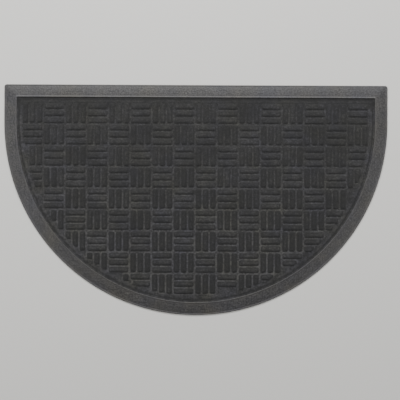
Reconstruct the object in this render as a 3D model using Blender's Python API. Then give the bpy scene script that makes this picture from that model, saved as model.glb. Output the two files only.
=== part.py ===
"""Half round doormat, 762 x 457 mm.

A moulded rubber tray, with a raised border round a shallow recess, holds a panel of needle-punched
carpet. The panel is pressed thin beside the border and carries a parquet of raised bars, three to a
square cell, upright and crosswise in turn. The straight edge lies at +Y, and the underside is at z = 0.
"""

import math

import bmesh
import bpy
from mathutils import Vector

# Plan of the mat, in metres
RADIUS = 0.381
STRAIGHT_SIDE = 0.0762
TOP_EDGE_Y = (RADIUS + STRAIGHT_SIDE) / 2
ARC_CENTRE_Y = TOP_EDGE_Y - STRAIGHT_SIDE
ARC_STEPS = 48
CORNER_STEPS = 2

# Rubber tray
BORDER_WIDTH = 0.0254
BACKING_THICKNESS = 0.0022
CLEARANCE = 0.0003

# Each row is a ring of the tray, from the underside over the border and down to the recess.
# Columns: distance in from the outline, height, radius of the two plan corners
TRAY_RINGS = (
    (0.0, 0.0, 0.0050),
    (0.0, 0.0018, 0.0050),
    (0.0008, 0.0028, 0.0045),
    (0.0020, 0.0030, 0.0040),
    (0.0026, 0.0027, 0.0038),
    (0.0228, 0.0047, 0.0020),
    (0.0234, 0.0054, 0.0020),
    (0.0244, 0.0056, 0.0020),
    (0.0251, 0.0052, 0.0020),
    (BORDER_WIDTH, 0.0046, 0.0020),
    (BORDER_WIDTH, BACKING_THICKNESS, 0.0020),
)

# Carpet panel, with the same columns: its foot, the strip pressed thin, the ramp and the ground
PANEL_EDGE = BORDER_WIDTH + CLEARANCE
PANEL_UNDERSIDE = BACKING_THICKNESS + CLEARANCE
GROUND_HEIGHT = 0.0051
PANEL_RINGS = (
    (PANEL_EDGE, PANEL_UNDERSIDE, 0.0018),
    (PANEL_EDGE, 0.0036, 0.0018),
    (0.0298, 0.0036, 0.0030),
    (0.0342, 0.0048, 0.0060),
    (0.0356, GROUND_HEIGHT, 0.0070),
)

# Parquet of raised bars
COLUMNS = 16
ROWS = 9
CELL_WIDTH = 0.0431
CELL_HEIGHT = 0.0423
BARS_A_CELL = 3
FIELD_TOP = TOP_EDGE_Y - 0.0359
FIELD_LEFT = -0.0014 - COLUMNS * CELL_WIDTH / 2
FIELD_RADIUS = RADIUS - 0.0376
BAR_GAP = 0.0028
BAR_END_GAP = 0.0036
BAR_CORNER = 0.0026
MOST_CUT_SHARE = 0.3
BAR_RISE = 0.0026
BAR_FLANK = 0.0019

# A bar that the field's arc crosses: how much of its width its blunt end keeps, the lean under which it
# runs level with the arc, its least length, and how close two corners of its outline may lie
BLUNT_SHARE = 0.6
LEAST_LEAN = 0.02
LEAST_LENGTH = 0.0120
LEAST_EDGE = 0.0022

# Places that the mould leaves flat beside the arc: row, column and bar, from the top left
FLAT_PLACES = ((4, 0, 2), (4, 15, 0), (8, 9, 2))

# An uncut bar's crown has four corners: its cut corners, shorter than this, are drawn together
CROWN_CORNER = 0.0028
UNCUT_POINTS = 8

# Finishes: linear colour, roughness
RUBBER_FINISH = ((0.088, 0.089, 0.092), 0.62)
CARPET_FINISH = ((0.037, 0.038, 0.040), 0.95)


def half_round(inset, corner):
    """Plan points of the mat moved in from its outline: the two rounded top corners, then the half circle."""
    half_width = RADIUS - inset
    top = TOP_EDGE_Y - inset
    points = []
    for side, first_angle in ((1, 0.0), (-1, 90.0)):
        for step in range(CORNER_STEPS + 1):
            angle = math.radians(first_angle + 90.0 * step / CORNER_STEPS)
            points.append(
                (
                    side * (half_width - corner) + corner * math.cos(angle),
                    top - corner + corner * math.sin(angle),
                )
            )
    for step in range(ARC_STEPS + 1):
        angle = math.pi + math.pi * step / ARC_STEPS
        points.append((half_width * math.cos(angle), ARC_CENTRE_Y + half_width * math.sin(angle)))
    return points


def loft(bm, rings):
    """Rings of vertices at the table's heights, with a face between each pair of neighbours."""
    loops = []
    for inset, height, corner in rings:
        loops.append([bm.verts.new((x, y, height)) for x, y in half_round(inset, corner)])
    for lower, upper in zip(loops, loops[1:]):
        for here in range(len(lower)):
            there = (here + 1) % len(lower)
            bm.faces.new((lower[here], lower[there], upper[there], upper[here]))
    return loops


def cut_back(outline, origin, direction, reach):
    """The part of a convex outline that lies less than the reach from the origin in the direction."""
    over = [(point - origin).dot(direction) - reach for point in outline]
    kept = []
    for here, point in enumerate(outline):
        there = (here + 1) % len(outline)
        if over[here] <= 0.0:
            kept.append(point)
        if (over[here] <= 0.0) != (over[there] <= 0.0):
            share = over[here] / (over[here] - over[there])
            kept.append(point.lerp(outline[there], share))
    return kept


def within_field(outline, centre, along, half_width):
    """A bar's outline inside the field's arc: cut on a slant beside it, and square where it would get thin."""
    arc_centre = Vector((0.0, ARC_CENTRE_Y))
    outward = Vector((centre.x, min(centre.y - ARC_CENTRE_Y, 0.0))).normalized()
    outline = cut_back(outline, arc_centre, outward, FIELD_RADIUS)
    lean = outward.dot(along)
    if abs(lean) < LEAST_LEAN:
        return outline
    line = abs(outward.dot(along.orthogonal())) * half_width * (2 * BLUNT_SHARE - 1)
    room = FIELD_RADIUS - outward.dot(centre - arc_centre) - line
    return cut_back(outline, centre, along * math.copysign(1.0, lean), room / abs(lean))


def corners_cut(outline):
    """The outline with each corner cut off, by less where an edge is short, and no two corners close."""
    outline = [b for a, b in zip(outline[-1:] + outline[:-1], outline) if (b - a).length > LEAST_EDGE]
    points = []
    for before, corner, after in zip(outline[-1:] + outline[:-1], outline, outline[1:] + outline[:1]):
        for neighbour in (before, after):
            edge = neighbour - corner
            points.append(corner + edge * min(BAR_CORNER / edge.length, MOST_CUT_SHARE))
    return points


def bar_outlines():
    """Outlines of the bars' feet, cell by cell, cut where the half circle crosses them."""
    outlines = []
    for row in range(ROWS):
        for column in range(COLUMNS):
            left = FIELD_LEFT + column * CELL_WIDTH
            top = FIELD_TOP - row * CELL_HEIGHT
            upright = (row + column) % 2 == 0
            across = (CELL_WIDTH if upright else CELL_HEIGHT) / BARS_A_CELL
            along = CELL_HEIGHT if upright else CELL_WIDTH
            half = Vector((across - BAR_GAP, along - BAR_END_GAP)) / 2
            for bar in range(BARS_A_CELL):
                if (row, column, bar) in FLAT_PLACES:
                    continue
                middle = across * (bar + 0.5)
                if upright:
                    centre = Vector((left + middle, top - CELL_HEIGHT / 2))
                    axis = Vector((0.0, 1.0))
                else:
                    centre = Vector((left + CELL_WIDTH / 2, top - middle))
                    axis = Vector((1.0, 0.0))
                side = -axis.orthogonal()
                foot = [
                    centre + side * half.x * x + axis * half.y * y for x, y in ((-1, -1), (1, -1), (1, 1), (-1, 1))
                ]
                outline = within_field(foot, centre, axis, half.x)
                places = [point.dot(axis) for point in outline]
                if places and max(places) - min(places) > LEAST_LENGTH:
                    outlines.append(corners_cut(outline))
    return outlines


def finish(name, colour, roughness):
    """A material with one plain colour and roughness."""
    material = bpy.data.materials.new(name)
    material.use_nodes = True
    shader = material.node_tree.nodes["Principled BSDF"]
    shader.inputs["Base Color"].default_value = (*colour, 1.0)
    shader.inputs["Roughness"].default_value = roughness
    shader.inputs["Metallic"].default_value = 0.0
    return material


def add_object(bm, name, collection, material):
    """The mesh as an object of the collection, with its faces turned outwards."""
    bmesh.ops.recalc_face_normals(bm, faces=bm.faces)
    mesh = bpy.data.meshes.new(name)
    bm.to_mesh(mesh)
    bm.free()
    mesh.materials.append(material)
    obj = bpy.data.objects.new(name, mesh)
    collection.objects.link(obj)
    return obj


def make_tray(collection):
    """The rubber tray: its border's section carried round the plan, closed below and across the recess."""
    bm = bmesh.new()
    loops = loft(bm, TRAY_RINGS)
    bm.faces.new(loops[0])
    bm.faces.new(loops[-1])
    tray = add_object(bm, "rubber_tray", collection, finish("moulded_rubber", *RUBBER_FINISH))
    tray.data.shade_smooth()
    tray.data.set_sharp_from_angle(angle=math.radians(30.0))


def make_panel(collection):
    """The carpet panel: its edge and ramp as rings, the ground filled round the bars' feet, the bars raised."""
    bm = bmesh.new()
    loops = loft(bm, PANEL_RINGS)
    bm.faces.new(loops[0])
    feet = [[bm.verts.new((*point, GROUND_HEIGHT)) for point in outline] for outline in bar_outlines()]
    edges = []
    for loop in feet:
        edges += [bm.edges.new((a, b)) for a, b in zip(loop, loop[1:] + loop[:1])]
    shoulder = set(loops[-1])
    edges += [edge for edge in bm.edges if shoulder.issuperset(edge.verts)]
    bmesh.ops.triangle_fill(bm, edges=edges, use_beauty=True)
    bars = [bm.faces.new(loop) for loop in feet]
    bmesh.ops.recalc_face_normals(bm, faces=bm.faces)
    bmesh.ops.inset_individual(bm, faces=bars, thickness=BAR_FLANK, depth=BAR_RISE, use_even_offset=True)
    uncut = [bar for bar in bars if len(bar.verts) == UNCUT_POINTS]
    corners = [edge for bar in uncut for edge in bar.edges if edge.calc_length() < CROWN_CORNER]
    bmesh.ops.collapse(bm, edges=corners)
    add_object(bm, "carpet_panel", collection, finish("needle_punched_carpet", *CARPET_FINISH))


def main():
    """Clears the scene, then makes the tray and its panel."""
    for obj in list(bpy.data.objects):
        bpy.data.objects.remove(obj, do_unlink=True)
    collection = bpy.data.collections.new("half_round_doormat")
    bpy.context.scene.collection.children.link(collection)
    make_tray(collection)
    make_panel(collection)


main()
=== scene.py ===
"""Looks of the half round doormat: a moulded rubber tray with a pebbled border, and a needle-punched
carpet panel pressed into a parquet of raised bars. Everything is in metres, in the frame's own axes:
+X along the straight edge, +Y towards the straight edge, +Z up."""

import math

import bpy
import numpy as np
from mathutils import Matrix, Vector


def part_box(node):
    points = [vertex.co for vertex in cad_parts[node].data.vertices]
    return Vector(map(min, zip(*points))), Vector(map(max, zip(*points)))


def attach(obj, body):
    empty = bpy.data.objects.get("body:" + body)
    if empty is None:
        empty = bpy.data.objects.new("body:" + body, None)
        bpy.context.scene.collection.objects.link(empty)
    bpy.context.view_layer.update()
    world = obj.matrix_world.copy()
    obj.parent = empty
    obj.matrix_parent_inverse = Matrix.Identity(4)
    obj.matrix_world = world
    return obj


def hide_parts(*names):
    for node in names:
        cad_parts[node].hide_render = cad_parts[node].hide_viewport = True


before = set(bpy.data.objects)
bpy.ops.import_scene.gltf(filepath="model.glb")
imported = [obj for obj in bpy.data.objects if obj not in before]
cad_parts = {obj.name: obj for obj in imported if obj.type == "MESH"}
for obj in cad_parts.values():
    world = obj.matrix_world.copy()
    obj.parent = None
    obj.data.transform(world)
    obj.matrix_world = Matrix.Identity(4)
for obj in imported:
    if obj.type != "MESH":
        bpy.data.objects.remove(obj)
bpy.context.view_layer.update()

MM = 0.001
tray_low, tray_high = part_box("rubber_tray")
panel_low, panel_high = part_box("carpet_panel")

# Plan of the mat, from the frame: a half circle below straight sides
RADIUS = (tray_high.x - tray_low.x) / 2
TOP_Y = tray_high.y
ARC_Y = tray_low.y + RADIUS
PANEL_INSET = RADIUS - panel_high.x
PANEL_UNDER = panel_low.z

# Points along each stretch of the plan's outline
CORNER_STEPS = 6
EDGE_STEPS = 600
SIDE_STEPS = 56
ARC_STEPS = 940

# Section of the tray in millimetres, from its underside over the border to its recess.
# Columns: distance in from the outline, height, radius of the two plan corners
TRAY_OUTER = (
    (0.6, 0.0, 4.5),
    (0.12, 0.15, 4.9),
    (0.0, 0.6, 5.0),
    (0.0, 1.4, 5.0),
    (0.18, 2.05, 4.9),
    (0.6, 2.6, 4.6),
    (1.2, 2.93, 4.2),
    (1.8, 3.0, 4.0),
    (2.3, 2.88, 3.8),
    (2.7, 2.66, 3.6),
)
TRAY_INNER = (
    (22.8, 4.85, 2.1),
    (23.0, 5.15, 2.1),
    (23.3, 5.45, 2.1),
    (23.8, 5.58, 2.0),
    (24.5, 5.60, 2.0),
    (25.0, 5.50, 2.0),
    (25.3, 5.15, 2.0),
    (25.4, 4.6, 2.0),
    (25.4, 3.2, 2.0),
    (25.4, 2.2, 2.0),
)
FIRST_TOP_RING = 4
TRAY_SHARP = 50

# Band between the tray's two rims, in millimetres: where it runs, its heights and its plan corners
BAND_START, BAND_END, BAND_RINGS = 3.2, 22.5, 18
BAND_LOW, BAND_HIGH, BAND_CROWN = 2.75, 4.72, 0.25
BAND_CORNER_PLACES, BAND_CORNER_RADII = (2.7, 22.9), (3.6, 2.1)

# Where the pebbles of the band rise and fade, and where its inner rim turns down, in millimetres
PEBBLES_RISE, PEBBLES_FADE = (2.6, 4.2), (21.6, 22.8)
# Past the inner wall's place, the wall down into the recess takes the band's darker tone as painted shade
INNER_WALL, CREST_END = 24.8, 25.0

# Pebbles: pitch, rise, and range of their places and radii as shares of the pitch
PEBBLE_PITCH, PEBBLE_RISE, PEBBLE_SEED = 3.2 * MM, 0.07 * MM, 5
PEBBLE_PLACES = (0.22, 0.78)
PEBBLE_RADII = (0.42, 0.62)

# Low waves of the moulded border: size, height, seed
TRAY_WAVE = (31 * MM, 0.05 * MM, 6)

# Side of the tables of random values that clouds and pebbles are drawn from
TABLE = 256

# Parquet of the panel
COLUMNS, ROWS, BARS = 16, 9, 3
CELL_WIDTH, CELL_HEIGHT = 43.1 * MM, 42.3 * MM
FIELD_LEFT = -1.4 * MM - COLUMNS * CELL_WIDTH / 2
FIELD_TOP = TOP_Y - 35.9 * MM
FIELD_RADIUS = RADIUS - 37.6 * MM
BAR_GAP, BAR_END_GAP = 2.9 * MM, 3.6 * MM
BAR_ROUNDING = 3.0 * MM

# A bar that the field's arc crosses: how much of its width its blunt end keeps, the lean under which it
# runs level with the arc, its least length, how far its cut corners are rounded, and the depth that
# stands for no bar
BLUNT_SHARE, LEAST_LEAN, LEAST_LENGTH = 0.6, 0.02, 12.0 * MM
CUT_BLEND, NO_BAR = 0.9 * MM, -5 * MM

# Places that the mould leaves flat beside the arc: row, column and bar, from the top left
FLAT_PLACES = ((4, 0, 2), (4, 15, 0), (8, 9, 2))

# Grid lines of the panel: their places as shares of a bar's pitch, and their pitch outside the parquet
LINE_SHARES = (0.0, 0.095, 0.155, 0.245, 0.39, 0.61, 0.755, 0.845, 0.905)
EDGE_PITCH = 1.5 * MM
PANEL_SHARP = 70

# Heights and tones across the panel's rim. Columns: distance in from the outline in millimetres,
# height in millimetres, tone of the pressed fibre from 0, dark, to 1, light. The dark about 29 mm in is
# partly painted shade in the groove beside the tray's rim and partly the fibre's own tone
PANEL_RIM = (
    (25.7, 4.10, 0.70),
    (27.0, 4.00, 0.62),
    (28.3, 3.75, 0.32),
    (29.3, 3.50, 0.00),
    (30.3, 3.75, 0.34),
    (32.0, 4.30, 0.60),
    (34.0, 4.95, 0.64),
    (35.2, 5.20, 0.62),
    (36.4, 5.10, 0.50),
    (38.0, 5.05, 0.50),
)
RIM_INSETS, RIM_HEIGHTS, RIM_TONES = np.array(PANEL_RIM).T
RIM_BLEND = 5 * MM
RIM_WAVER, RIM_WAVER_SIZE, RIM_WAVER_SEED = 0.25, 14 * MM, 21

# Relief of the bars: how wide a shoulder is, its rise, the crown over it and how far the crown reaches
BAR_SHOULDER, BAR_RISE = 5.2 * MM, 2.15 * MM
BAR_CROWN, CROWN_REACH = 0.15 * MM, 6 * MM
GROUND_DIP, DIP_START, DIP_END = 0.10 * MM, -3 * MM, 1 * MM

# Unevenness of the felt: spread of the bars' rises, wander of their edges, and lumps.
# Columns: size, amount, seed
RISE_SPREAD, BAR_SEED = 0.045, 3
EDGE_WANDER = (4 * MM, 0.30 * MM, 22)
LUMPS = ((2.8 * MM, 0.13 * MM, 23), (8 * MM, 0.14 * MM, 24))
GROUND_LUMPS, LUMPS_FULL = 0.35, 2 * MM

# Tones of the felt, from 0, dark, to 1, light. The low light from the straight side is painted in: a
# darker strip beside that side as painted shade, tones that change in the lower part of the mat, a painted
# sheen that sets crosswise fibre apart from upright fibre, and painted shade on the bars' flanks.
UPPER_Y, LOWER_Y = 140 * MM, -160 * MM
STRIP_SHADE, STRIP_START, STRIP_END = 0.55, 50 * MM, 38 * MM
BAR_TONE, BAR_PAINTED_LIGHT_FALL, BAR_TONE_SPREAD = 0.33, 0.10, 0.06
CROSSWISE_PAINTED_SHEEN, CROSSWISE_PAINTED_SHEEN_FALL = 0.02, 0.16
UPRIGHT_PAINTED_SHEEN, UPRIGHT_PAINTED_SHEEN_FALL = -0.05, 0.03
FLANK_PAINTED_SHADE, CROSSWISE_FLANK_PAINTED_SHADE = 0.28, 0.22
FLANK_MIDDLE, FLANK_WIDTH = 1.2 * MM, 1.1 * MM
BAR_EDGE = (-0.3 * MM, 1.0 * MM)
GROUND_TONE, GROUND_PAINTED_LIGHT_GAIN = 0.85, 0.65
BESIDE_BAR, BESIDE_RIM = (-4 * MM, -1 * MM), (35, 40)
BEADS, BEAD_SIZE, BEAD_SEED = 0.35, 4.2 * MM, 28
BLOTCHES = ((3.4 * MM, 0.06, 25), (11 * MM, 0.07, 27), (45 * MM, 0.07, 26))
WALL_TONE = 0.1

# Range that a smooth noise keeps to for most of its area
NOISE_LOW, NOISE_HIGH = 0.3, 0.7

# Studio: the floor's half width and how far it lies under the mat
FLOOR_HALF, FLOOR_DROP, FLOOR_SHARP = 6.0, 0.1 * MM, 30

# Lights. Columns: name, place, target, width, depth, power in watts
LIGHTS = (
    ("window_light", (-0.12, 1.62, 1.50), (0.0, 0.05, 0.0), 2.0, 0.7, 70.0),
    ("left_fill", (-1.7, -0.3, 1.5), (0.0, -0.05, 0.0), 1.2, 1.2, 13.0),
    ("right_fill", (1.7, -0.3, 1.5), (0.0, -0.05, 0.0), 1.2, 1.2, 11.0),
)
SKY_STRENGTH = 0.27

# The photograph's frame: size of a pixel on the mat, its middle, where the half circle's centre falls in
# it, its turn in degrees, the lens in millimetres, and the height on the mat that it was measured at
PIXEL = 1.988 * MM
FRAME_MIDDLE = 199.5
ARC_PIXEL_X, ARC_PIXEL_Y = 195.02, 122.85
ROLL = 0.26
LENS, SENSOR, FRAME_PIXELS = 120.0, 36.0, 400
MEASURED_HEIGHT = 3 * MM


def cloud(x, y, size, seed):
    """Smooth random field from -1 to 1: random values at the corners of squares of the given size,
    blended inside each square by a smooth step of the place between its corners."""
    table = np.random.default_rng(seed).uniform(-1, 1, (TABLE, TABLE))
    u, v = x / size, y / size
    i, j = np.floor(u).astype(int), np.floor(v).astype(int)
    a, b = u - i, v - j
    a, b = a * a * (3 - 2 * a), b * b * (3 - 2 * b)
    i, j, next_i, next_j = i % TABLE, j % TABLE, (i + 1) % TABLE, (j + 1) % TABLE
    low = table[i, j] * (1 - a) + table[next_i, j] * a
    high = table[i, next_j] * (1 - a) + table[next_i, next_j] * a
    return low * (1 - b) + high * b


def clouds(x, y, rows):
    """Sum of several clouds, each of one row's size, amount and seed."""
    return sum(amount * cloud(x, y, size, seed) for size, amount, seed in rows)


def smooth_step(low, high, value):
    """0 below low, 1 above high, and 3t^2 - 2t^3 of the share t between them."""
    t = np.clip((value - low) / (high - low), 0, 1)
    return t * t * (3 - 2 * t)


def smooth_max(a, b, blend):
    """The larger of a and b, with the crease between them rounded over the blend's width."""
    h = np.clip(0.5 + (a - b) / (2 * blend), 0, 1)
    return b + (a - b) * h + blend * h * (1 - h)


def pebbles(x, y, pitch, seed):
    """Height from 0 to 1 of moulded pebbles: one dome for each square of the pitch, at a random place in
    its square, each dome one minus the squared distance from its middle over its own radius squared."""
    rng = np.random.default_rng(seed)
    place = rng.uniform(*PEBBLE_PLACES, (TABLE, TABLE, 2))
    size = rng.uniform(*PEBBLE_RADII, (TABLE, TABLE))
    u, v = x / pitch, y / pitch
    i, j = np.floor(u).astype(int), np.floor(v).astype(int)
    height = np.zeros_like(x)
    for di in (-1, 0, 1):
        for dj in (-1, 0, 1):
            a, b = (i + di) % TABLE, (j + dj) % TABLE
            du = u - (i + di) - place[a, b, 0]
            dv = v - (j + dj) - place[a, b, 1]
            height = np.maximum(height, 1 - (du * du + dv * dv) / size[a, b] ** 2)
    return height


def plan_rings(inset, corner):
    """Plan of the mat moved in by the inset, one row of points for each ring. Counterclockwise from the
    right: a corner arc, the straight edge, a corner arc, a side, the half circle, a side. On a corner arc a
    point is its centre plus the corner's radius times (cos, sin), on the half circle the same with the
    mat's radius less the inset, and on a straight stretch the share of the way along it."""
    inset, corner = np.asarray(inset)[:, None], np.asarray(corner)[:, None]
    width, top = RADIUS - inset, TOP_Y - inset

    def arc(centre_x, centre_y, radius, first, last, steps):
        angle = np.radians(first + (last - first) * np.arange(steps) / steps)
        return centre_x + radius * np.cos(angle), centre_y + radius * np.sin(angle)

    def straight(x0, y0, x1, y1, steps):
        share = np.arange(steps) / steps
        return x0 + (x1 - x0) * share, y0 + (y1 - y0) * share

    inner, shoulder, middle = width - corner, top - corner, 0 * width + ARC_Y
    stretches = (
        arc(inner, shoulder, corner, 0, 90, CORNER_STEPS),
        straight(inner, top, -inner, top, EDGE_STEPS),
        arc(-inner, shoulder, corner, 90, 180, CORNER_STEPS),
        straight(-width, shoulder, -width, middle, SIDE_STEPS),
        arc(0, ARC_Y, width, 180, 360, ARC_STEPS),
        straight(width, middle, width, shoulder, SIDE_STEPS),
    )
    return np.hstack([x for x, y in stretches]), np.hstack([y for x, y in stretches])


def add_mesh(name, points, faces, sharp_angle, **fields):
    """A smooth-shaded mesh object from an array of points and a list of face arrays, with one named number
    for each point from each of the fields."""
    mesh = bpy.data.meshes.new(name)
    mesh.from_pydata(points.tolist(), [], [face for part in faces for face in part.tolist()])
    for field, values in fields.items():
        mesh.attributes.new(field, "FLOAT", "POINT").data.foreach_set("value", values.astype(np.float32))
    mesh.shade_smooth()
    mesh.set_sharp_from_angle(angle=math.radians(sharp_angle))
    obj = bpy.data.objects.new(name, mesh)
    bpy.context.scene.collection.objects.link(obj)
    return obj


def make_tray():
    """Rubber tray: its section carried round the plan. Rings of one row of the section each are joined by
    quads, and one face closes the underside and one the recess. On the band between the rims, the height
    is a straight slope, plus a crown of 4 times its rise times the share of the way times the share left,
    plus the pebbles. A low cloud over the whole border is added last."""
    band = np.linspace(BAND_START, BAND_END, BAND_RINGS)
    share = (band - BAND_START) / (BAND_END - BAND_START)
    band_height = BAND_LOW + (BAND_HIGH - BAND_LOW) * share + BAND_CROWN * 4 * share * (1 - share)
    band_corner = np.interp(band, BAND_CORNER_PLACES, BAND_CORNER_RADII)
    middle = np.column_stack([band, band_height, band_corner])
    section = np.vstack([TRAY_OUTER, middle, TRAY_INNER])
    x, y = plan_rings(section[:, 0] * MM, section[:, 2] * MM)
    inset = np.repeat(section[:, 0][:, None], x.shape[1], axis=1)
    height = np.repeat(section[:, 1][:, None], x.shape[1], axis=1) * MM
    on_top = np.repeat((np.arange(len(section)) >= FIRST_TOP_RING)[:, None], x.shape[1], axis=1)
    on_band = smooth_step(*PEBBLES_RISE, inset) * (1 - smooth_step(*PEBBLES_FADE, inset)) * on_top
    pebble = pebbles(x, y, PEBBLE_PITCH, PEBBLE_SEED)
    height = height + PEBBLE_RISE * pebble * on_band
    height = height + clouds(x, y, [TRAY_WAVE]) * on_top * (inset < CREST_END)
    rings, count = x.shape
    index = np.arange(rings * count).reshape(rings, count)
    after = np.roll(index, -1, axis=1)
    quads = np.stack([index[:-1], after[:-1], after[1:], index[1:]], axis=-1).reshape(-1, 4)
    points = np.stack([x, y, height], axis=-1).reshape(-1, 3)
    faces = (quads, index[:1, ::-1], index[-1:])
    # The band, and the inner wall down into the recess, which takes the band's darker tone as painted shade
    band_and_painted_wall_shade = np.maximum(on_band, inset > INNER_WALL)
    return add_mesh("moulded_tray", points, faces, TRAY_SHARP, band=band_and_painted_wall_shade.ravel(), pebble=pebble.ravel())


def inset_of(x, y, blend):
    """Distance in from the mat's outline: the smaller of the distance to the straight edge and to the side
    or half circle, with the crease between them rounded over the blend's width."""
    beside = RADIUS - np.hypot(x, np.minimum(y - ARC_Y, 0))
    below = TOP_Y - y
    if not blend:
        return np.minimum(beside, below)
    return -smooth_max(-beside, -below, blend)


def bar_depth(x, y):
    """How far a point lies inside the bar whose place it is in, and that bar's number. A bar is a rectangle
    with round corners. Where the field's arc crosses it, it is also cut by the line that touches the arc
    beside it, and cut square where less than the blunt share of its width would be left."""
    column = np.clip(np.floor((x - FIELD_LEFT) / CELL_WIDTH), 0, COLUMNS - 1)
    row = np.clip(np.floor((FIELD_TOP - y) / CELL_HEIGHT), 0, ROWS - 1)
    left, top = FIELD_LEFT + column * CELL_WIDTH, FIELD_TOP - row * CELL_HEIGHT
    upright = (row + column) % 2 == 0
    pitch = np.where(upright, CELL_WIDTH, CELL_HEIGHT) / BARS
    bar = np.clip(np.floor(np.where(upright, x - left, top - y) / pitch), 0, BARS - 1)
    middle = (bar + 0.5) * pitch
    centre_x = left + np.where(upright, middle, CELL_WIDTH / 2)
    centre_y = top - np.where(upright, CELL_HEIGHT / 2, middle)
    half_across = (pitch - BAR_GAP) / 2
    half_along = (np.where(upright, CELL_HEIGHT, CELL_WIDTH) - BAR_END_GAP) / 2
    across = np.where(upright, x - centre_x, y - centre_y)
    along = np.where(upright, y - centre_y, x - centre_x)
    over_x = np.abs(across) - half_across + BAR_ROUNDING
    over_y = np.abs(along) - half_along + BAR_ROUNDING
    outside = np.hypot(np.maximum(over_x, 0), np.maximum(over_y, 0)) - BAR_ROUNDING
    outside = outside + np.minimum(np.maximum(over_x, over_y), 0)

    out_x, out_y = centre_x, np.minimum(centre_y - ARC_Y, 0)
    length = np.hypot(out_x, out_y)
    out_x, out_y = out_x / length, out_y / length
    lean = np.where(upright, out_y, out_x)
    slope = np.where(upright, out_x, out_y)
    outside = smooth_max(outside, x * out_x + (y - ARC_Y) * out_y - FIELD_RADIUS, CUT_BLEND)
    spare = FIELD_RADIUS - centre_x * out_x - (centre_y - ARC_Y) * out_y
    room = spare - np.abs(slope) * half_across * (2 * BLUNT_SHARE - 1)
    leans = np.abs(lean) > LEAST_LEAN
    reach = room / np.maximum(np.abs(lean), LEAST_LEAN)
    blunt = smooth_max(outside, along * np.sign(lean) - reach, CUT_BLEND)
    outside = np.where(leans, blunt, outside)
    present = np.where(leans, half_along + np.minimum(reach, half_along) > LEAST_LENGTH, room > 0)
    number = ((row * COLUMNS + column) * BARS + bar).astype(int)
    present &= ~np.isin(number, [(r * COLUMNS + c) * BARS + b for r, c, b in FLAT_PLACES])
    return np.where(present, -outside, NO_BAR), number


def panel_lines(start, cells, cell, low, high):
    """Grid lines across the panel: close together at each bar's foot and shoulder, at the line shares of its
    pitch, and evenly out to both edges of the panel."""
    pitch = cell / BARS
    inner = start + (np.arange(cells * BARS)[:, None] + np.array(LINE_SHARES)).ravel() * pitch
    end = start + cells * cell
    before = np.linspace(low, start, math.ceil((start - low) / EDGE_PITCH), endpoint=False)
    after = np.linspace(high, end, math.ceil((high - end) / EDGE_PITCH), endpoint=False)[::-1]
    return np.concatenate([before, inner, [end], after])


def panel_height(x, y, inset, depth, rise):
    """Height of the carpet: the rim's height by the distance in from the outline, plus each bar's rise times
    the quarter round of its depth over its shoulder, plus its crown, less a shallow dip at its foot, plus
    lumps that are weaker on the ground."""
    height = np.interp(inset, RIM_INSETS, RIM_HEIGHTS) * MM
    share = np.clip(depth / BAR_SHOULDER, 0, 1)
    bar = BAR_RISE * np.sqrt(1 - (1 - share) ** 2) * rise + BAR_CROWN * smooth_step(0, CROWN_REACH, depth)
    dip = GROUND_DIP * smooth_step(DIP_START, 0, depth) * (1 - smooth_step(0, DIP_END, depth))
    full = GROUND_LUMPS + (1 - GROUND_LUMPS) * smooth_step(0, LUMPS_FULL, depth)
    return height + bar - dip + clouds(x, y, LUMPS) * full


def panel_tone(x, y, inset, depth, number, shade):
    """Tone of the carpet. The ground takes the rim's tone, with beads; it is darker in a strip beside the
    straight edge, painted shade, and lighter low on the mat, painted light. A bar takes its own tone, which
    changes low on the mat as painted light, and a painted sheen by the way its fibre lies, and its flank is
    darker by a bell curve of the depth about the flank's middle, painted shade that deepens low on the mat.
    Clouds of three sizes are added to both."""
    # How far down the mat a point lies; the tone changes that it drives are painted light
    lower = smooth_step(UPPER_Y, LOWER_Y, y)
    crosswise = (number // BARS // COLUMNS + number // BARS % COLUMNS) % 2
    on_bar = smooth_step(*BAR_EDGE, depth)
    beside = smooth_step(*BESIDE_BAR, depth) * smooth_step(*BESIDE_RIM, inset)
    # Painted light: low on the mat the ground beside the bars is lighter and the flanks' painted shade deeper
    painted_low_light = GROUND_TONE + GROUND_PAINTED_LIGHT_GAIN * lower * beside
    # Painted shade: a darker strip beside the straight edge
    strip = 1 - STRIP_SHADE * smooth_step(TOP_Y - STRIP_START, TOP_Y - STRIP_END, y)
    # The rim's tones carry painted shade in the groove beside the tray
    ground = np.interp(inset, RIM_INSETS, RIM_TONES) * strip * painted_low_light
    # Painted sheen: crosswise bars are set lighter than upright ones, and both change down the mat
    upright_painted_sheen = UPRIGHT_PAINTED_SHEEN + UPRIGHT_PAINTED_SHEEN_FALL * lower
    painted_sheen = np.where(crosswise, CROSSWISE_PAINTED_SHEEN + CROSSWISE_PAINTED_SHEEN_FALL * lower, upright_painted_sheen)
    # Painted light: the crown's tone falls low on the mat, and the painted sheen is added to it
    crown = BAR_TONE - BAR_PAINTED_LIGHT_FALL * lower + BAR_TONE_SPREAD * shade + painted_sheen
    # Painted shade: the bars' flanks are darkened by a bell curve about their middle
    flank = np.exp(-(((depth - FLANK_MIDDLE) / FLANK_WIDTH) ** 2))
    flank_painted_shade = np.where(crosswise, CROSSWISE_FLANK_PAINTED_SHADE, FLANK_PAINTED_SHADE) * flank * painted_low_light
    tone = ground * (1 - on_bar) + on_bar * crown - flank_painted_shade
    beads = 1 + BEADS * cloud(x, y, BEAD_SIZE, BEAD_SEED)
    tone = tone * (beads + (1 - beads) * on_bar)
    return np.clip(tone + clouds(x, y, BLOTCHES), 0, 1)


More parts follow.
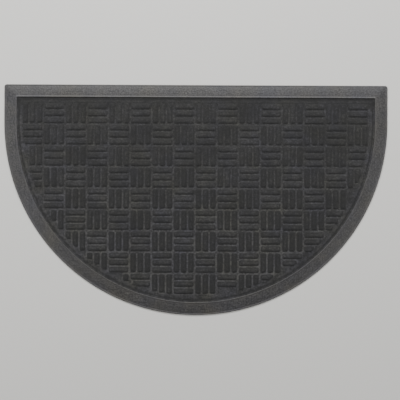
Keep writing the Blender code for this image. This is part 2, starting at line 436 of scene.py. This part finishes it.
def panel_surface(x, y):
    """Height and tone of the carpet. The distance in from the outline wavers a little, and so does the
    depth in a bar, so that no edge of the felt is quite straight. Each bar has a rise and shade of its
    own, drawn at random."""
    inset = inset_of(x, y, RIM_BLEND) / MM + RIM_WAVER * cloud(x, y, RIM_WAVER_SIZE, RIM_WAVER_SEED)
    depth, number = bar_depth(x, y)
    rng = np.random.default_rng(BAR_SEED)
    rise = 1 + RISE_SPREAD * rng.uniform(-1, 1, COLUMNS * ROWS * BARS)[number]
    shade = rng.uniform(-1, 1, COLUMNS * ROWS * BARS)[number]
    depth = depth + clouds(x, y, [EDGE_WANDER])
    return panel_height(x, y, inset, depth, rise), panel_tone(x, y, inset, depth, number, shade)


def make_panel():
    """Carpet panel: a grid of points on the lines of the parquet, those past the half circle left out and
    the outermost moved onto it along its radius. Height and tone are functions of x and y. The edge is the
    lines that one square alone has. A wall joins it to a copy of it at the underside's height, which one
    face closes, its points in the order of their angle about the panel's middle."""
    edge_radius = RADIUS - PANEL_INSET
    lines_x = panel_lines(FIELD_LEFT, COLUMNS, CELL_WIDTH, -edge_radius, edge_radius)
    low_y = ARC_Y - edge_radius
    top_y = TOP_Y - PANEL_INSET
    lines_y = panel_lines(FIELD_TOP - ROWS * CELL_HEIGHT, ROWS, CELL_HEIGHT, low_y, top_y)
    x, y = np.meshgrid(lines_x, lines_y)
    index = np.arange(x.size).reshape(x.shape)
    quads = np.stack([index[:-1, :-1], index[:-1, 1:], index[1:, 1:], index[1:, :-1]], axis=-1).reshape(-1, 4)
    x, y = x.ravel(), y.ravel()
    inside = inset_of(x[quads].mean(axis=1), y[quads].mean(axis=1), 0) > PANEL_INSET
    quads = quads[inside]

    ends = np.stack([quads, np.roll(quads, -1, axis=1)], axis=-1).reshape(-1, 2)
    _, first, count = np.unique(np.sort(ends, axis=1), axis=0, return_index=True, return_counts=True)
    rim = ends[first[count == 1]]
    loop = np.unique(rim)
    below = loop[y[loop] < ARC_Y]
    stretch = edge_radius / np.hypot(x[below], y[below] - ARC_Y)
    x[below] = x[below] * stretch
    y[below] = ARC_Y + (y[below] - ARC_Y) * stretch

    used, renumbered = np.unique(quads, return_inverse=True)
    quads = renumbered.reshape(-1, 4)
    x, y = x[used], y[used]
    height, tone = panel_surface(x, y)
    rim, loop = np.searchsorted(used, rim), np.searchsorted(used, loop)
    under = np.zeros(len(used), int)
    under[loop] = len(used) + np.arange(len(loop))
    walls = np.stack([rim[:, 1], rim[:, 0], under[rim[:, 0]], under[rim[:, 1]]], axis=-1)
    inner_y = (low_y + top_y) / 2
    order = np.argsort(np.arctan2(y[loop] - inner_y, x[loop]))
    floor = under[loop[order]][::-1][None, :]
    points = np.column_stack([x, y, height])
    foot = points[loop] * (1, 1, 0) + (0, 0, PANEL_UNDER)
    points = np.vstack([points, foot])
    tone = np.concatenate([tone, np.full(len(loop), WALL_TONE)])
    return add_mesh("pressed_carpet", points, (quads, walls, floor), PANEL_SHARP, tone=tone)


def colour(code):
    """Linear colour, with alpha, of an sRGB hex code."""
    parts = [int(code[i:i + 2], 16) / 255 for i in (1, 3, 5)]
    return (*((c / 12.92 if c <= 0.04045 else ((c + 0.055) / 1.055) ** 2.4) for c in parts), 1.0)


def add_node(tree, kind, inputs=(), **settings):
    """A node with its settings, its input values set, and its input links made."""
    node = tree.nodes.new(kind)
    for name, setting in settings.items():
        setattr(node, name, setting)
    for name, value in dict(inputs).items():
        if isinstance(value, bpy.types.NodeSocket):
            tree.links.new(value, node.inputs[name])
        else:
            node.inputs[name].default_value = value
    return node


def new_material(name):
    """An empty node material, its tree and its Principled shader."""
    material = bpy.data.materials.new(name)
    material.use_nodes = True
    tree = material.node_tree
    return material, tree, tree.nodes["Principled BSDF"]


def attribute(tree, name):
    """One of the mesh's own numbers for each point."""
    return add_node(tree, "ShaderNodeAttribute", attribute_name=name).outputs["Fac"]


def noise(tree, place, size, detail):
    """Smooth noise of the given feature size in metres."""
    inputs = {"Vector": place, "Scale": 1 / size, "Detail": detail, "Roughness": 0.6}
    return add_node(tree, "ShaderNodeTexNoise", inputs).outputs["Fac"]


def math_node(tree, operation, *values):
    """A sum, product or other operation on two or three values."""
    return add_node(tree, "ShaderNodeMath", enumerate(values), operation=operation).outputs[0]


def total(tree, first, *others):
    """The sum of several values."""
    for other in others:
        first = math_node(tree, "ADD", first, other)
    return first


def remap(tree, value, low, high, new_low, new_high):
    """The value carried from one range to another, held at its ends."""
    inputs = {"Value": value, "From Min": low, "From Max": high, "To Min": new_low, "To Max": new_high}
    return add_node(tree, "ShaderNodeMapRange", inputs).outputs["Result"]


def swing(tree, noise_value, amount):
    """A noise carried from its usual range to minus and plus the amount."""
    return remap(tree, noise_value, NOISE_LOW, NOISE_HIGH, -amount, amount)


def mix_colours(tree, share, dark, light):
    """A colour between two, by the share."""
    inputs = {0: share, 6: colour(dark), 7: colour(light)}
    return add_node(tree, "ShaderNodeMix", inputs, data_type="RGBA").outputs[2]


def tint_by(tree, base, noise_value, cool, warm):
    """The base colour times a faint tint that drifts between a cool and a warm one with the noise."""
    share = remap(tree, noise_value, NOISE_LOW, NOISE_HIGH, 0.0, 1.0)
    inputs = {0: 1.0, 6: base, 7: mix_colours(tree, share, cool, warm)}
    return add_node(tree, "ShaderNodeMix", inputs, data_type="RGBA", blend_type="MULTIPLY").outputs[2]


def add_bump(tree, shader, height, distance, strength):
    """Fine relief on the shader's surface, the given distance deep."""
    inputs = {"Height": height, "Distance": distance, "Strength": strength}
    tree.links.new(add_node(tree, "ShaderNodeBump", inputs).outputs["Normal"], shader.inputs["Normal"])


def moulded_rubber():
    """Recycled rubber, hot pressed in a steel mould whose band is etched with a fine pebble.

    To the eye it is a matte dark grey with a soft gleam towards the light. A pale bloom gathers on what
    stands proud, so the pebbles' tops read lighter than the valleys. The smooth rims are left lighter than
    the band, partly bloom and partly a painted highlight on their rounded edges, and the wall down into the
    recess takes the band's darker tone as painted shade. Rubber crumb of about 1.6 mm shows as a salt of
    lighter and darker grains, and on the straight side the flow of the press leaves faint streaks across
    the border."""
    material, tree, shader = new_material("moulded_rubber")
    place = add_node(tree, "ShaderNodeTexCoord").outputs["Object"]
    pebble = attribute(tree, "pebble")
    crumb = noise(tree, place, 1.6 * MM, 3.0)
    blotch = noise(tree, place, 30 * MM, 3.0)
    flow = add_node(tree, "ShaderNodeMapping", {"Vector": place, "Scale": (1.0, 0.12, 1.0)}).outputs["Vector"]
    streak = noise(tree, flow, 2.2 * MM, 2.0)
    across = add_node(tree, "ShaderNodeSeparateXYZ", {"Vector": place}).outputs["Y"]
    straight_side = remap(tree, across, TOP_Y - 26 * MM, TOP_Y - 22 * MM, 0.0, 1.0)

    # The band's darker tone also covers the inner wall into the recess as painted shade; the rims left
    # lighter are partly bloom and partly a painted highlight
    on_band = math_node(tree, "MULTIPLY", attribute(tree, "band"), remap(tree, pebble, 0.0, 1.0, -0.54, 0.12))
    streaks = math_node(tree, "MULTIPLY", swing(tree, streak, 0.10), straight_side)
    bloom_and_painted_light = total(tree, on_band, swing(tree, crumb, 0.45), swing(tree, blotch, 0.10), streaks)
    body = mix_colours(tree, math_node(tree, "ADD", bloom_and_painted_light, 0.58), "#262626", "#545454")
    tinted = tint_by(tree, body, noise(tree, place, 60 * MM, 2.0), "#f4f3ff", "#fff8ec")
    tree.links.new(tinted, shader.inputs["Base Color"])
    tree.links.new(remap(tree, bloom_and_painted_light, -0.8, 0.2, 0.44, 0.54), shader.inputs["Roughness"])
    add_bump(tree, shader, math_node(tree, "MULTIPLY_ADD", pebble, 0.5, crumb), 0.1 * MM, 0.8)
    shader.inputs["IOR"].default_value = 1.52
    shader.inputs["Metallic"].default_value = 0.0
    return material


def needle_punched_carpet():
    """Solution-dyed polypropylene felt, needle punched and hot pressed.

    To the eye it is a matte charcoal with no gleam and a faint pale edge from loose fibre. Where the press
    has flattened the fibre it lies smoother and looks paler. Its tone also holds painted light: painted shade
    in the groove beside the tray, in a strip beside the straight edge and on the bars' flanks, a painted
    sheen that sets crosswise bars apart from upright ones, and tones that change low on the mat. Punched
    tufts of 2.8 mm mottle it. A fibre is too fine to show, so a strand of them is drawn 0.6 mm wide."""
    material, tree, shader = new_material("needle_punched_polypropylene")
    place = add_node(tree, "ShaderNodeTexCoord").outputs["Object"]
    tuft = noise(tree, place, 2.8 * MM, 4.0)
    strand = noise(tree, place, 0.6 * MM, 2.0)
    amount = total(tree, attribute(tree, "tone"), swing(tree, tuft, 0.30))
    ramp = add_node(tree, "ShaderNodeValToRGB", {"Fac": amount})
    ramp.color_ramp.elements[0].color = colour("#0e0e0e")
    ramp.color_ramp.elements[1].color = colour("#464646")
    ramp.color_ramp.elements.new(0.35).color = colour("#1f1f1f")
    tinted = tint_by(tree, ramp.outputs["Color"], noise(tree, place, 50 * MM, 2.0), "#eeecff", "#fffcec")
    tree.links.new(tinted, shader.inputs["Base Color"])
    add_bump(tree, shader, math_node(tree, "MULTIPLY_ADD", tuft, 1.6, strand), 0.25 * MM, 1.0)
    shader.inputs["Roughness"].default_value = 0.92
    shader.inputs["IOR"].default_value = 1.49
    shader.inputs["Metallic"].default_value = 0.0
    shader.inputs["Sheen Weight"].default_value = 0.15
    shader.inputs["Sheen Roughness"].default_value = 0.6
    return material


def painted_floor():
    """Plain pale painted floor of the studio: matte, and a little warm."""
    material, _, shader = new_material("painted_floor")
    shader.inputs["Base Color"].default_value = colour("#d8d7d3")
    shader.inputs["Roughness"].default_value = 0.8
    return material


def make_stage():
    """A wide pale floor just under the mat: one square about the origin."""
    corners = [(-1, -1), (1, -1), (1, 1), (-1, 1)]
    points = np.array([(FLOOR_HALF * x, FLOOR_HALF * y, -FLOOR_DROP) for x, y in corners])
    floor = add_mesh("studio_floor", points, (np.array([[0, 1, 2, 3]]),), FLOOR_SHARP)
    floor.data.materials.append(painted_floor())


def add_light(name, place, target, width, depth, power):
    """An oblong soft light that faces its target."""
    light = bpy.data.lights.new(name, "AREA")
    light.shape = "RECTANGLE"
    light.size, light.size_y = width, depth
    light.energy = power
    lamp = bpy.data.objects.new(name, light)
    lamp.location = place
    lamp.rotation_euler = (Vector(target) - Vector(place)).to_track_quat("-Z", "Y").to_euler()
    bpy.context.scene.collection.objects.link(lamp)


def make_lights():
    """A broad soft light beyond the straight edge, a weak one on each side, and a pale sky."""
    for row in LIGHTS:
        add_light(*row)
    world = bpy.data.worlds.new("studio_sky")
    world.use_nodes = True
    sky = world.node_tree.nodes["Background"]
    sky.inputs["Color"].default_value = colour("#f5f5f5")
    sky.inputs["Strength"].default_value = SKY_STRENGTH
    bpy.context.scene.world = world


def make_camera():
    """A camera straight above the mat, turned a quarter of a degree as the photograph is."""
    data = bpy.data.cameras.new("camera")
    data.lens, data.sensor_width = LENS, SENSOR
    camera = bpy.data.objects.new("camera", data)
    height = FRAME_PIXELS * PIXEL * LENS / SENSOR
    x = (FRAME_MIDDLE - ARC_PIXEL_X) * PIXEL
    y = ARC_Y - (FRAME_MIDDLE - ARC_PIXEL_Y) * PIXEL
    camera.location = (x, y, height + MEASURED_HEIGHT)
    camera.rotation_euler = (0.0, 0.0, math.radians(ROLL))
    bpy.context.scene.collection.objects.link(camera)
    bpy.context.scene.camera = camera


make_camera()

tray = make_tray()
tray.data.materials.append(moulded_rubber())
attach(tray, "root")
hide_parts("rubber_tray")

panel = make_panel()
panel.data.materials.append(needle_punched_carpet())
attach(panel, "root")
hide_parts("carpet_panel")

make_stage()
make_lights()
